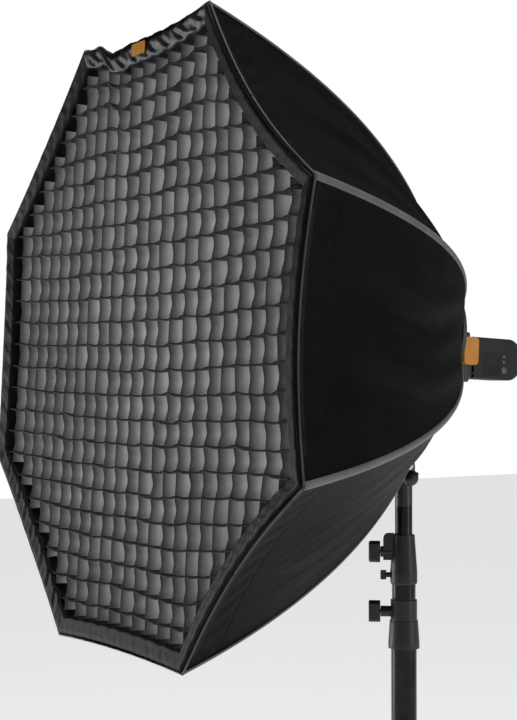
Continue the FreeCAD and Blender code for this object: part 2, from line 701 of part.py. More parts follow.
def pipe(label, outer, inner, low, top):
    body = new_body(label)
    section = new_sketch(body, "XY_Plane", low)
    circle(section, outer)
    circle(section, inner)
    pad(body, section, f"{top} - {low}")
    nodes.append(body)


pipe("base_tube", "base_outer", "base_inner", "base_low", "base_top")
pipe("mid_tube", "mid_outer", "mid_inner", "mid_low", "mid_top")

top_tube = new_body("top_tube")
revolve(top_tube, [
    ("top_inner", "top_low"), ("mid_inner - 0.1", "top_low"), ("mid_inner - 0.1", "top_low + 30"),
    ("top_outer", "top_low + 30"), ("top_outer", "top_end"), ("stud_radius", "top_end"),
    ("stud_radius", "receiver_roof - 0.2"), ("0", "receiver_roof - 0.2"), ("0", "top_end - 18"),
    ("top_inner", "top_end - 18"),
])
nodes.append(top_tube)


def boss(body, turn, start, height, reach, bore_depth):
    """The screw boss on a collar, pointing outwards at an angle about the column."""
    stub = new_sketch(body, "YZ_Plane", start, swing=turn)
    circle(stub, "boss_radius", "0", height)
    pad(body, stub, f"{reach} - {start}")
    bore = new_sketch(body, "YZ_Plane", "60", swing=turn)
    circle(bore, "clamp_bore", "0", height)
    pocket(body, bore, f"60 - {bore_depth}")


lower_clamp = new_body("lower_clamp")
revolve(lower_clamp, [
    ("base_outer + 0.05", "lower_clamp_low"), ("27.6", "lower_clamp_low"),
    ("27.6", "lower_clamp_low + 8"), ("25", "clamp_step"), ("23.4", "clamp_step"),
    ("23.4", "lower_clamp_top"),
    ("base_inner - 0.05", "lower_clamp_top"), ("base_inner - 0.05", "base_top + 0.2"),
    ("base_outer + 0.05", "base_top + 0.2"),
])
boss(lower_clamp, size("clamp_turn"), "21.2", "lower_knob_height", "boss_out", "15")
nodes.append(lower_clamp)

upper_clamp = new_body("upper_clamp")
revolve(upper_clamp, [
    ("mid_outer + 0.05", "upper_clamp_low"), ("22.9", "upper_clamp_low"),
    ("24", "upper_clamp_low + 3"), ("24", "upper_clamp_low + 20"),
    ("19.4", "upper_clamp_top"), ("top_outer + 0.1", "upper_clamp_top"),
    ("top_outer + 0.1", "mid_top + 0.2"), ("mid_outer + 0.05", "mid_top + 0.2"),
])
lug = new_sketch(upper_clamp, "YZ_Plane", "17", swing=size("clamp_turn"))
rectangle(lug, "-lug_half", "upper_knob_height - 14", "lug_half", "upper_clamp_top + 2")
lug_block = pad(upper_clamp, lug, "lug_out - 17")
clamp_side = Rotation(Vector(0, 0, 1), size("clamp_turn")).multVec(Vector(1, 0, 0))
round_edges(
    upper_clamp, lug_block, "lug_round",
    lambda at, along: at.dot(clamp_side) > size("lug_out") - 0.5
    and at.z > size("upper_clamp_top") + 1 and abs(along.z) < 0.1,
)
neck = new_sketch(upper_clamp, "YZ_Plane", "22.5", swing=size("clamp_turn"))
circle(neck, "4.5", "0", "tension_height")
pad(upper_clamp, neck, "9")
head = new_sketch(upper_clamp, "YZ_Plane", "31", swing=size("clamp_turn"))
rectangle(head, "-7", "tension_height - 7.5", "7", "tension_height + 7.5")
pad(upper_clamp, head, "10")
boss(upper_clamp, size("clamp_turn"), "20", "upper_knob_height", "boss_out", "12")
nodes.append(upper_clamp)


def wing_knob(label, turn, height, tip, start, end, half, tall, soft="1.2"):
    """A T-shaped hand screw; local x runs outwards along its thread."""
    body = new_body(label, polar_place(0, size(height), turn))
    thread = new_sketch(body, "YZ_Plane", tip)
    circle(thread, "clamp_screw")
    pad(body, thread, f"{start} + 1 - {tip}")
    wing = new_sketch(body, "YZ_Plane", start)
    slant = f"{half}*0.5"
    polygon(wing, [
        (f"-{half}", f"-{tall} + {slant}"), (f"-{slant}", f"-{tall}"), (slant, f"-{tall}"),
        (half, f"-{tall} + {slant}"), (half, f"{tall} - {slant}"), (slant, tall),
        (f"-{slant}", tall), (f"-{half}", f"{tall} - {slant}"),
    ])
    grip = pad(body, wing, f"{end} - {start}")
    round_edges(body, grip, soft, lambda at, along: at.x > grip.Shape.BoundBox.XMax - 0.1)
    nodes.append(body)


wing_knob("lower_knob", size("clamp_turn"), "lower_knob_height", "21.3", "wing_in", "wing_out",
          "wing_half", "wing_tall")
wing_knob("upper_knob", size("clamp_turn"), "upper_knob_height", "15.7", "wing_in", "wing_out",
          "wing_half", "wing_tall", soft="4")

# ---------------------------------------------------------------- legs


def three_times(body, features):
    body.Tip = features[-1]
    pattern = body.newObject("PartDesign::PolarPattern", f"{body.Label}_threefold")
    pattern.Originals = features
    axis = [f for f in body.Origin.OriginFeatures if f.Role == "Z_Axis"][0]
    pattern.Axis = (axis, [""])
    pattern.Angle = 360
    pattern.Occurrences = 3
    body.Tip = pattern


def collar(label, bore, low, top, placement):
    body = new_body(label, placement)
    revolve(body, [(bore, low), ("collar_outer", low), ("collar_outer", top), (bore, top)])
    return body


facing_rear = Placement(Vector(0, 0, 0), Rotation(Vector(0, 0, 1), LEG_TURNS[0]))
leg_slider = collar("leg_slider", "base_outer + 0.1", "slider_low", "slider_top", facing_rear)
slider_turn = size("slider_turn")
boss(leg_slider, slider_turn, "27", "leg_top + 7", "boss_out - 3", "15")
cheeks = []
for inner_face, backwards in (("leg_size/2 + 0.4", False), ("-(leg_size/2 + 0.4)", True)):
    side = new_sketch(leg_slider, "XZ_Plane", inner_face)
    rectangle(side, "collar_outer - 3.5", "leg_top - 12", "hinge_out + 9", "leg_top + 12")
    cheeks.append(pad(leg_slider, side, "4.6", backwards=backwards))
axle = new_sketch(leg_slider, "XZ_Plane")
circle(axle, "clamp_bore", "hinge_out", "leg_top")
cheeks.append(pocket(leg_slider, axle, "60", centred=True))
three_times(leg_slider, cheeks)
nodes.append(leg_slider)

leg_hub = collar("leg_hub", "base_outer + 0.05", "foot_pivot - 17", "foot_pivot + 18", facing_rear)
lug = new_sketch(leg_hub, "XZ_Plane")
rectangle(lug, "collar_outer - 3", "foot_pivot - 7", "hinge_out", "foot_pivot + 7")
lug_pad = pad(leg_hub, lug, "strap_in*2 - 1", centred=True)
lug_eye = new_sketch(leg_hub, "XZ_Plane")
circle(lug_eye, "7", "hinge_out", "foot_pivot")
eye_pad = pad(leg_hub, lug_eye, "strap_in*2 - 1", centred=True)
lug_bore = new_sketch(leg_hub, "XZ_Plane")
circle(lug_bore, "clamp_bore", "hinge_out", "foot_pivot")
three_times(leg_hub, [lug_pad, eye_pad, pocket(leg_hub, lug_bore, "60", centred=True)])
nodes.append(leg_hub)

wing_knob("slider_knob", LEG_TURNS[0] + slider_turn, "leg_top", "23", "boss_out - 2.4",
          "boss_out + 14", "wing_half - 1", "wing_tall - 4")
nodes[-1].Placement.Base.z = size("leg_top") + 7


def on_leg(along, across):
    """A point of the leg's side view: along from the pivot, across towards its outer face."""
    return (f"({along})*sin(leg_angle) + ({across})*cos(leg_angle)",
            f"-({along})*cos(leg_angle) + ({across})*sin(leg_angle)")


def cut_level(level, across):
    """Where a line of the leg, offset across it, reaches a level below the pivot."""
    return f"(({level}) + ({across})*sin(leg_angle))/cos(leg_angle)"


def leg(number, turn):
    body = new_body(f"leg_{number}", polar_place(size("hinge_out"), size("leg_top"), turn))
    floor = "leg_top - 6"
    half = "leg_size/2"
    bar = new_sketch(body, "XZ_Plane")
    polygon(bar, [
        on_leg("-10", f"-{half}"), on_leg(cut_level(floor, f"-{half}"), f"-{half}"),
        on_leg(cut_level(floor, half), half), on_leg("-10", half),
    ])
    pad(body, bar, "leg_size", centred=True)
    channel = new_sketch(body, "XZ_Plane")
    bottom = cut_level("leg_top - 40", "0")
    polygon(channel, [
        on_leg("16", f"-{half} - 1"), on_leg(bottom, f"-{half} - 1"),
        on_leg(bottom, f"{half} - leg_wall"), on_leg("16", f"{half} - leg_wall"),
    ])
    pocket(body, channel, "leg_size - leg_wall*2", centred=True)
    foot = new_sketch(body, "XZ_Plane")
    reach = "foot_reach - hinge_out"
    polygon(foot, [
        (f"{reach} - 48", "-leg_top"), (reach, "-leg_top"),
        (f"{reach} - 6", "-leg_top + foot_high"), (f"{reach} - 42", "-leg_top + foot_high"),
    ])
    pad(body, foot, "26", centred=True)
    trunnion = new_sketch(body, "XZ_Plane")
    circle(trunnion, "clamp_screw")
    pad(body, trunnion, "leg_size + 9", centred=True)
    nodes.append(body)


def brace(number, turn):
    """Two flat straps beside the leg, pinned through the lug on the bottom hub."""
    body = new_body(f"brace_{number}", polar_place(size("hinge_out"), size("foot_pivot"), turn))
    reach = "(leg_top - foot_pivot)/(2*cos(leg_angle))"

    def on_strap(along, across):
        return (f"({along})*sin(leg_angle) - ({across})*cos(leg_angle)",
                f"({along})*cos(leg_angle) + ({across})*sin(leg_angle)")

    for near, backwards in (("strap_in", False), ("-strap_in", True)):
        strap = new_sketch(body, "XZ_Plane", near)
        polygon(strap, [
            on_strap("-7", "-strap_half"), on_strap("-7", "strap_half"),
            on_strap(f"{reach} + 7", "strap_half"), on_strap(f"{reach} + 7", "-strap_half"),
        ])
        pad(body, strap, "strap_thick", backwards=backwards)
        rivet = new_sketch(body, "XZ_Plane", near)
        circle(rivet, "strap_half - 1.5", *on_strap(reach, "0"))
        pad(body, rivet, "strap_thick + 2", backwards=backwards)
        if near == "strap_in":
            joint_pin = new_sketch(body, "XZ_Plane")
            circle(joint_pin, "clamp_screw")
            pad(body, joint_pin, "strap_in*2 + strap_thick*2 + 3", centred=True)
    nodes.append(body)


for number, turn in enumerate(LEG_TURNS, start=1):
    leg(number, turn)
    brace(number, turn)

# ---------------------------------------------------------------- check and write

doc.recompute()
for item in doc.Objects:
    bad = [state for state in item.State if state in ("Invalid", "Error")]
    if bad:
        raise RuntimeError(f"{item.Label}: {bad}")
for node in nodes:
    if node.Shape.isNull() or not node.Shape.isValid() or node.Shape.Volume <= 0:
        raise RuntimeError(f"{node.Label} has no valid shape")
    node.Shape.exportStep(f"parts/{node.Label}.step")
print(len(nodes), "nodes written")
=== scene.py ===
import json
import math

import bpy
import numpy as np
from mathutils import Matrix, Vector

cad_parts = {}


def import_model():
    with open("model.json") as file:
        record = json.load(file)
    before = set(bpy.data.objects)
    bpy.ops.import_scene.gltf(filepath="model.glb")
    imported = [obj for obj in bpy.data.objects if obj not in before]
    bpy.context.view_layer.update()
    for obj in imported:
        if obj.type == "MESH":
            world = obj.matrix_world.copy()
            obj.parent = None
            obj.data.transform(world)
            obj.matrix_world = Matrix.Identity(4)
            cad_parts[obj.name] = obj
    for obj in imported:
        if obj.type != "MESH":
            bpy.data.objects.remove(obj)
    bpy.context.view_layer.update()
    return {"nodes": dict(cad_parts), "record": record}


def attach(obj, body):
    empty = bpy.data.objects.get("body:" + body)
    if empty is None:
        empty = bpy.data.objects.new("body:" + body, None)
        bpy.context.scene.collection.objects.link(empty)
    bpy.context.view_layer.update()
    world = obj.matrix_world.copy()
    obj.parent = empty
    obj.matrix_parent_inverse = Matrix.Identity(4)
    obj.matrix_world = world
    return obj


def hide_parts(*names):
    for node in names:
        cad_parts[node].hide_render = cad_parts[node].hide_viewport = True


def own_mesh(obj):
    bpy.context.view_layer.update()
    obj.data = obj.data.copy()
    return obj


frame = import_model()
behaviour = frame["record"]["behaviour"]
joints = {j["name"]: j for j in behaviour["joints"]}
rng = np.random.default_rng(11)

# ---------------------------------------------------------------- the box frame
# x to the right, y into the box from the front rim, z up; the shell hangs from its hub.

CORNER = 0.5335  # from the middle to a corner of the front rim
RISE, RISE_SPAN = 0.044, 0.8  # the shell's middle climbs this much over this share of the corner radius
ROOT, DEPTH = 0.124, 0.581  # corner radius and depth of the fabric at the hub
TIP_SLOPE, ROOT_SLOPE = math.radians(71.6), math.radians(32)
TIP_HANDLE, ROOT_HANDLE = 0.433, 0.110
HALF = math.radians(22.5)
FLAT = math.cos(HALF)
APOTHEM = CORNER * FLAT

pivot = np.array(joints["tilt"]["pos_m"])
front_axis = joints["front_panel_slide"]["axis"]
LEAN = math.atan2(front_axis[2], -front_axis[1])
C, S = math.cos(LEAN), math.sin(LEAN)
TURN = np.array([[1, 0, 0], [0, C, S], [0, -S, C]])
PIVOT_IN_BOX = np.array([0, 0.559, -0.192])


def world(points):
    """Row-frame points from box-frame ones."""
    return (np.asarray(points, float) - PIVOT_IN_BOX) @ TURN.T + pivot


def direction(vector):
    """A row-frame direction from a box-frame one."""
    return TURN @ np.asarray(vector, float)


def lift(radius):
    """How far the shell's middle has risen where its corners are at this radius."""
    return RISE * (1 - radius / CORNER) / RISE_SPAN


def ridge(t):
    """Radius and depth of a corner seam from the rim (0) to the hub (1)."""
    t = np.asarray(t, float)
    poles = [
        (CORNER, 0),
        (CORNER - TIP_HANDLE * math.cos(TIP_SLOPE), TIP_HANDLE * math.sin(TIP_SLOPE)),
        (ROOT + ROOT_HANDLE * math.cos(ROOT_SLOPE), DEPTH - ROOT_HANDLE * math.sin(ROOT_SLOPE)),
        (ROOT, DEPTH),
    ]
    weights = [(1 - t) ** 3, 3 * (1 - t) ** 2 * t, 3 * (1 - t) * t * t, t**3]
    return tuple(sum(w * p[i] for w, p in zip(weights, poles)) for i in (0, 1))


FINE = np.linspace(0, 1, 2001)
FINE_R, FINE_Y = ridge(FINE)
FINE_S = np.concatenate([[0], np.cumsum(np.hypot(np.diff(FINE_R), np.diff(FINE_Y)))])
LENGTH = FINE_S[-1]


def along(s):
    """Curve parameter at a distance from the rim."""
    return np.interp(s, FINE_S, FINE)


def shell(angle, s, w):
    """Points of a facet: s from the rim, w from -1 to 1 between its two ridges."""
    radius, depth = ridge(along(s))
    out = radius * FLAT
    half = w * out * math.tan(HALF)
    a = math.radians(angle)
    rise = lift(radius)
    return np.stack(
        np.broadcast_arrays(
            out * math.cos(a) - half * math.sin(a),
            depth + 0 * w,
            out * math.sin(a) + half * math.cos(a) + rise,
        ),
        axis=-1,
    )


# How far each front edge is drawn in between its two rod tips; the top one also has a slack spot.
BOW = {1: 0.026, 2: 0.024, 3: 0.020, 4: 0.006, 5: 0.008, 6: 0.006, 7: 0.006, 8: 0.022}


def bow(facet, w):
    """How far a facet's front edge is drawn in at w."""
    drawn = BOW[facet] * (1 - w**2)
    if facet == 3:
        slack = 0.010 * np.exp(-((w - 0.45) / 0.2) ** 2)
        drawn = drawn + slack - 0.008 * np.exp(-((w - 0.72) / 0.09) ** 2)
        drawn = drawn * np.clip((1 - np.abs(w)) * 9, 0, 1)
    return drawn


def drawn_in(points):
    """Moves points near the front so that they follow the drawn-in edges."""
    x, z = points[..., 0], points[..., 2]
    sector = np.round(np.degrees(np.arctan2(z, x)) / 45).astype(int) % 8
    a = np.radians(45 * sector)
    out, across = x * np.cos(a) + z * np.sin(a), z * np.cos(a) - x * np.sin(a)
    w = across / np.maximum(out * math.tan(HALF), 1e-6)
    shift = np.zeros_like(out)
    for facet in range(1, 9):
        shift = np.where(sector == facet - 1, bow(facet, np.clip(w, -1, 1)), shift)
    out = out - shift * np.clip(out / 0.47, 0, 1.1) ** 3
    return np.stack([out * np.cos(a) - across * np.sin(a), points[..., 1],
                     out * np.sin(a) + across * np.cos(a)], -1)


# ---------------------------------------------------------------- mesh helpers


def grid_normals(points):
    """Unit normals of a grid of points."""
    du = np.gradient(points, axis=0)
    dv = np.gradient(points, axis=1)
    n = np.cross(du, dv)
    return n / np.maximum(np.linalg.norm(n, axis=-1, keepdims=True), 1e-12)


def sheet_arrays(points, normals, thickness):
    """Vertices, faces and vertex normals of a thin closed sheet."""
    rows, cols = points.shape[:2]
    outer = points.reshape(-1, 3)
    inner = (points - normals * np.asarray(thickness)).reshape(-1, 3)
    flat_n = normals.reshape(-1, 3)
    vertices = np.concatenate([outer, inner])
    index = np.arange(rows * cols).reshape(rows, cols)
    a, b = index[:-1, :-1].ravel(), index[1:, :-1].ravel()
    c, d = index[1:, 1:].ravel(), index[:-1, 1:].ravel()
    top = np.stack([a, b, c, d], 1)
    low = top[:, ::-1] + rows * cols
    rim = np.concatenate([index[:, 0], index[-1, 1:], index[-2::-1, -1], index[0, -2:0:-1]])
    after = np.roll(rim, -1)
    side = np.stack([after, rim, rim + rows * cols, after + rows * cols], 1)
    return vertices, np.concatenate([top, low, side]), np.concatenate([flat_n, -flat_n])


def build(name, parts, material, coordinates=None):
    """One mesh object from (vertices, faces, normals) parts, in the row frame."""
    vertices, faces, normals, start = [], [], [], 0
    for v, f, n in parts:
        vertices.append(v)
        faces += [tuple(int(i) + start for i in face) for face in f]
        normals.append(n)
        start += len(v)
    vertices = np.concatenate(vertices)
    mesh = bpy.data.meshes.new(name)
    mesh.from_pydata(vertices.tolist(), [], faces)
    mesh.polygons.foreach_set("use_smooth", [True] * len(mesh.polygons))
    if normals[0] is not None:
        mesh.normals_split_custom_set_from_vertices(np.concatenate(normals).tolist())
    if coordinates is not None:
        layer = mesh.uv_layers.new(name="metres")
        corner = np.zeros(len(mesh.loops), int)
        mesh.loops.foreach_get("vertex_index", corner)
        layer.data.foreach_set("uv", np.asarray(coordinates, float)[corner].ravel())
    mesh.materials.append(material)
    piece = bpy.data.objects.new(name, mesh)
    bpy.context.scene.collection.objects.link(piece)
    return piece


def tube(path, section, up):
    """A closed tube: section is (across, out) pairs, up the outward direction at each point."""
    path = np.asarray(path)
    tangent = np.gradient(path, axis=0)
    tangent /= np.linalg.norm(tangent, axis=1, keepdims=True)
    out = up - tangent * (up * tangent).sum(1, keepdims=True)
    out /= np.linalg.norm(out, axis=1, keepdims=True)
    across = np.cross(tangent, out)
    count = len(section)
    rings = [path + across * x + out * y for x, y in section]
    vertices = np.stack(rings, 1).reshape(-1, 3)
    index = np.arange(len(path) * count).reshape(len(path), count)
    after = np.roll(index, -1, axis=1)
    faces = [tuple(q) for q in np.stack(
        [index[:-1].ravel(), after[:-1].ravel(), after[1:].ravel(), index[1:].ravel()], 1)]
    faces += [tuple(index[0][::-1]), tuple(index[-1])]
    return vertices, faces, None


def wrinkle(u, v, seed, waves):
    """Smooth repeatable unevenness from a few crossing waves: (across, along, height) rows."""
    total = 0.0
    turn = np.random.default_rng(seed)
    for across, length, height in waves:
        p = turn.uniform(0, 2 * np.pi, 3)
        skew = turn.uniform(-0.35, 0.35)
        phase = 2 * np.pi * (u / across + skew * v / across) + p[0]
        total = total + height * np.sin(phase + 1.3 * np.sin(2 * np.pi * v / length + p[1])) * (
            0.65 + 0.35 * np.sin(2 * np.pi * v / (length * 1.7) + p[2]))
    return total


# ---------------------------------------------------------------- materials

GLOW = (1.7, 1.05)  # the diffuser's light at its brightest spot and at the edge
GLOW_SHIFT, GLOW_REACH = (0.03, 0, 0.06), 0.62
DIFFUSER_DEPTH, DIFFUSER_REACH, DIFFUSER_THICK = 0.0465, 0.470, 0.0008
# How deep and how dark the darkened front of each louvre strip is: partly its doubled hem, partly painted
# shade.
HEM_AND_SHADE_FADE, HEM_AND_SHADE_SHARE = 0.018, 0.12

def new_material(name, colour, rough, specular=0.5, metallic=0.0):
    """A plain shader, with its nodes and links."""
    mat = bpy.data.materials.new(name)
    mat.use_nodes = True
    shader = mat.node_tree.nodes["Principled BSDF"]
    shader.inputs["Base Color"].default_value = (*colour, 1)
    shader.inputs["Roughness"].default_value = rough
    shader.inputs["Specular IOR Level"].default_value = specular
    shader.inputs["Metallic"].default_value = metallic
    return mat, mat.node_tree.nodes, mat.node_tree.links, shader


def add_bump(nodes, links, shader, height, strength, distance, before=None):
    """Relief from a height, over an earlier relief if there is one."""
    bump = nodes.new("ShaderNodeBump")
    bump.inputs["Strength"].default_value = strength
    bump.inputs["Distance"].default_value = distance
    links.new(height, bump.inputs["Height"])
    if before is not None:
        links.new(before, bump.inputs["Normal"])
    links.new(bump.outputs["Normal"], shader.inputs["Normal"])
    return bump.outputs["Normal"]


def vary(nodes, links, shader, low, high, scale, detail=4.0, rough=None):
    """Colour, and roughness if asked, that drifts between two values over the surface."""
    where = nodes.new("ShaderNodeTexCoord")
    noise = nodes.new("ShaderNodeTexNoise")
    noise.inputs["Scale"].default_value = scale
    noise.inputs["Detail"].default_value = detail
    links.new(where.outputs["Object"], noise.inputs["Vector"])
    ramp = nodes.new("ShaderNodeValToRGB")
    ramp.color_ramp.elements[0].position = 0.32
    ramp.color_ramp.elements[1].position = 0.7
    ramp.color_ramp.elements[0].color = (*low, 1)
    ramp.color_ramp.elements[1].color = (*high, 1)
    links.new(noise.outputs["Fac"], ramp.inputs["Fac"])
    links.new(ramp.outputs["Color"], shader.inputs["Base Color"])
    if rough:
        span = nodes.new("ShaderNodeMapRange")
        span.inputs["To Min"].default_value = rough[0]
        span.inputs["To Max"].default_value = rough[1]
        links.new(noise.outputs["Fac"], span.inputs["Value"])
        links.new(span.outputs["Result"], shader.inputs["Roughness"])
    return where


def weave(nodes, links, pitch, uv=True):
    """Crossed threads, one pitch apart, from the sheet's own metre coordinates."""
    where = nodes.new("ShaderNodeTexCoord")
    source = where.outputs["UV" if uv else "Object"]
    waves = []
    for axis in ("X", "Y" if uv else "Z"):
        wave = nodes.new("ShaderNodeTexWave")
        wave.bands_direction = axis
        wave.inputs["Scale"].default_value = 2 * math.pi / (20 * pitch)
        wave.inputs["Distortion"].default_value = 0.6
        wave.inputs["Detail"].default_value = 1.0
        links.new(source, wave.inputs["Vector"])
        waves.append(wave)
    mix = nodes.new("ShaderNodeMath")
    mix.operation = "MULTIPLY"
    links.new(waves[0].outputs["Fac"], mix.inputs[0])
    links.new(waves[1].outputs["Fac"], mix.inputs[1])
    return mix.outputs["Value"]


def cloth(name, low, high, rough, specular, sheen=0.0, pitch=0.0016, crease=0.0, uv=True):
    """Woven fabric between two colours, with threads one pitch apart and soft creases."""
    mat, nodes, links, shader = new_material(name, low, rough, specular)
    where = vary(nodes, links, shader, low, high, 14.0)
    shader.inputs["Sheen Weight"].default_value = sheen
    shader.inputs["Sheen Roughness"].default_value = 0.4
    threads = add_bump(nodes, links, shader, weave(nodes, links, pitch, uv), 0.35, 0.0006)
    if crease:
        soft = nodes.new("ShaderNodeTexNoise")
        soft.inputs["Scale"].default_value = 38.0
        soft.inputs["Detail"].default_value = 3.0
        links.new(where.outputs["Object"], soft.inputs["Vector"])
        add_bump(nodes, links, shader, soft.outputs["Fac"], 0.6, crease, before=threads)
    return mat


def darken_hem_and_painted_shade(mat):
    """The folded hem along a louvre strip's front edge is doubled and darker; the ramp also paints shade over
    the strip's front, where less of the diffuser's light reaches.
    """
    nodes, links = mat.node_tree.nodes, mat.node_tree.links
    shader = nodes["Principled BSDF"]
    base = shader.inputs["Base Color"].links[0].from_socket
    where = nodes.new("ShaderNodeTexCoord")
    split = nodes.new("ShaderNodeSeparateXYZ")
    links.new(where.outputs["UV"], split.inputs["Vector"])
    ramp = nodes.new("ShaderNodeMapRange")
    ramp.inputs["From Min"].default_value = 0.0
    ramp.inputs["From Max"].default_value = HEM_AND_SHADE_FADE
    ramp.inputs["To Min"].default_value = HEM_AND_SHADE_SHARE
    ramp.inputs["To Max"].default_value = 1.0
    links.new(split.outputs["Y"], ramp.inputs["Value"])
    scale = nodes.new("ShaderNodeVectorMath")
    scale.operation = "SCALE"
    links.new(base, scale.inputs[0])
    links.new(ramp.outputs["Result"], scale.inputs["Scale"])
    links.new(scale.outputs["Vector"], shader.inputs["Base Color"])


def hard(name, low, high, rough, specular=0.5, metallic=0.0, grain=900.0, strength=0.15, coat=0.0):
    """Moulded plastic or coated metal with a fine grain and slightly uneven gloss."""
    mat, nodes, links, shader = new_material(name, low, rough[0], specular, metallic)
    where = vary(nodes, links, shader, low, high, 22.0, rough=rough)
    shader.inputs["Coat Weight"].default_value = coat
    shader.inputs["Coat Roughness"].default_value = 0.15
    fine = nodes.new("ShaderNodeTexNoise")
    fine.inputs["Scale"].default_value = grain
    fine.inputs["Detail"].default_value = 2.0
    links.new(where.outputs["Object"], fine.inputs["Vector"])
    add_bump(nodes, links, shader, fine.outputs["Fac"], strength, 0.0004)
    return mat


def brushed(name, low, high, rough, stretch=(30, 30, 900)):
    """Metal with fine drawn lines."""
    mat, nodes, links, shader = new_material(name, low, rough[0], 0.5, 1.0)
    where = vary(nodes, links, shader, low, high, 18.0, rough=rough)
    scale = nodes.new("ShaderNodeMapping")
    scale.inputs["Scale"].default_value = stretch
    links.new(where.outputs["Object"], scale.inputs["Vector"])
    lines = nodes.new("ShaderNodeTexNoise")
    lines.inputs["Scale"].default_value = 1.0
    links.new(scale.outputs["Vector"], lines.inputs["Vector"])
    add_bump(nodes, links, shader, lines.outputs["Fac"], 0.2, 0.0003)
    return mat


def glowing_cloth():
    """White diffuser cloth with the flash's light behind it: brightest round the middle."""
    mat, nodes, links, shader = new_material("diffuser_cloth", (0.85, 0.85, 0.84), 0.8, 0.2)
    where = nodes.new("ShaderNodeTexCoord")
    centre = world((0, DIFFUSER_DEPTH, 0))
    shift = nodes.new("ShaderNodeVectorMath")
    shift.operation = "SUBTRACT"
    shift.inputs[1].default_value = tuple(centre + direction(GLOW_SHIFT))
    links.new(where.outputs["Object"], shift.inputs[0])
    far = nodes.new("ShaderNodeVectorMath")
    far.operation = "LENGTH"
    links.new(shift.outputs["Vector"], far.inputs[0])
    fall = nodes.new("ShaderNodeMapRange")
    fall.interpolation_type = "SMOOTHSTEP"
    fall.inputs["From Min"].default_value = 0.0
    fall.inputs["From Max"].default_value = GLOW_REACH
    fall.inputs["To Min"].default_value = GLOW[0]
    fall.inputs["To Max"].default_value = GLOW[1]
    links.new(far.outputs["Value"], fall.inputs["Value"])
    links.new(fall.outputs["Result"], shader.inputs["Emission Strength"])
    shader.inputs["Emission Color"].default_value = (1, 0.995, 0.98, 1)
    add_bump(nodes, links, shader, weave(nodes, links, 0.0014), 0.2, 0.0004)
    return mat


NYLON = cloth(
    "black_nylon", (0.0035, 0.0035, 0.0038), (0.0055, 0.0055, 0.0057), 0.5, 0.04, pitch=0.0012, crease=0.0012)
BINDING = cloth("rim_binding", (0.003, 0.003, 0.004), (0.006, 0.0062, 0.008), 0.42, 0.1, crease=0.002)
# The top facet's binding is the same fabric as the others; this bluer, lighter, glossier copy is painted
# highlight for the bluish sheen along the top rim.
BINDING_PAINTED_SHEEN = cloth("rim_binding_painted_sheen", (0.004, 0.0043, 0.0065), (0.008, 0.0088, 0.013), 0.3, 0.4, crease=0.003)
PIPING = cloth("grey_piping", (0.09, 0.09, 0.092), (0.13, 0.13, 0.135), 0.5, 0.35, 0.1, 0.002)
WELT = cloth("rim_welt", (0.03, 0.03, 0.032), (0.06, 0.06, 0.063), 0.45, 0.35, 0.1, 0.002, uv=False)
# The uprights and levels are one black fabric: the uprights' light grey is painted light for the diffuser's
# light on their faces, and the levels keep the fabric's black.
LOUVRE_PAINTED_LIGHT = cloth("louvre_fabric_painted_light", (0.46, 0.46, 0.463), (0.6, 0.6, 0.603), 0.6, 0.2, pitch=0.0014)
# painted shade: the louvre strips darken towards their front edge, beyond their hem.
darken_hem_and_painted_shade(LOUVRE_PAINTED_LIGHT)
LOUVRE_DARK = cloth(
    "louvre_fabric_dark", (0.008, 0.008, 0.009), (0.014, 0.014, 0.016), 0.5, 0.25, pitch=0.0014)
AMBER_WEB = cloth("amber_webbing", (0.42, 0.17, 0.012), (0.56, 0.24, 0.02), 0.6, 0.25, pitch=0.0022)
AMBER = hard("amber_plastic", (0.5, 0.19, 0.01), (0.6, 0.24, 0.016), (0.32, 0.45))
BLACK = hard("black_plastic", (0.008, 0.008, 0.008), (0.014, 0.014, 0.014), (0.36, 0.5), 0.45)
RUBBER = hard(
    "soft_black_plastic", (0.01, 0.01, 0.01), (0.018, 0.018, 0.018), (0.55, 0.7), 0.35,
    grain=500, strength=0.3)
COATED = hard(
    "black_coated_metal", (0.012, 0.012, 0.013), (0.02, 0.02, 0.021), (0.3, 0.42), grain=700, strength=0.25)
ANODISED = brushed(
    "black_anodised_tube", (0.02, 0.02, 0.021), (0.032, 0.032, 0.034), (0.22, 0.34), (40, 40, 4))
STEEL = brushed("pin_steel", (0.42, 0.42, 0.43), (0.55, 0.55, 0.56), (0.2, 0.35))
SPRING = brushed("spring_steel", (0.16, 0.16, 0.165), (0.24, 0.24, 0.25), (0.3, 0.42), (300, 40, 300))
SCREEN = hard("display_window", (0.02, 0.022, 0.024), (0.035, 0.037, 0.04), (0.08, 0.14), strength=0.02)
KEYS = hard("grey_keys", (0.09, 0.09, 0.092), (0.13, 0.13, 0.135), (0.4, 0.55), 0.4)
GLASS = hard("frosted_window", (0.62, 0.62, 0.6), (0.75, 0.75, 0.73), (0.3, 0.4), grain=300, strength=0.4)
DIFFUSER = glowing_cloth()

NODE_LOOKS = {
    "hub_ring": COATED, "rear_plate": COATED, "flash_sleeve": COATED, "receiver": COATED,
    "rod_pins": STEEL, "tilt_pin": STEEL, "sleeve_lever": AMBER,
    "tilt_lever": BLACK, "clamp_knob": BLACK, "lower_knob": BLACK, "upper_knob": BLACK,
    "slider_knob": BLACK, "lower_clamp": BLACK, "upper_clamp": BLACK, "leg_slider": BLACK,
    "leg_hub": BLACK, "flash_body": RUBBER, "flash_head": BLACK, "battery_door": BLACK,
    "flash_window": GLASS, "flash_display": SCREEN, "mode_dial": KEYS, "test_button": KEYS,
    "power_button": KEYS, "base_tube": ANODISED, "mid_tube": ANODISED, "top_tube": ANODISED,
}
for k in range(1, 9):
    NODE_LOOKS[f"rod_{k}"] = SPRING
for k in range(1, 4):
    NODE_LOOKS[f"leg_{k}"] = ANODISED
    NODE_LOOKS[f"brace_{k}"] = ANODISED
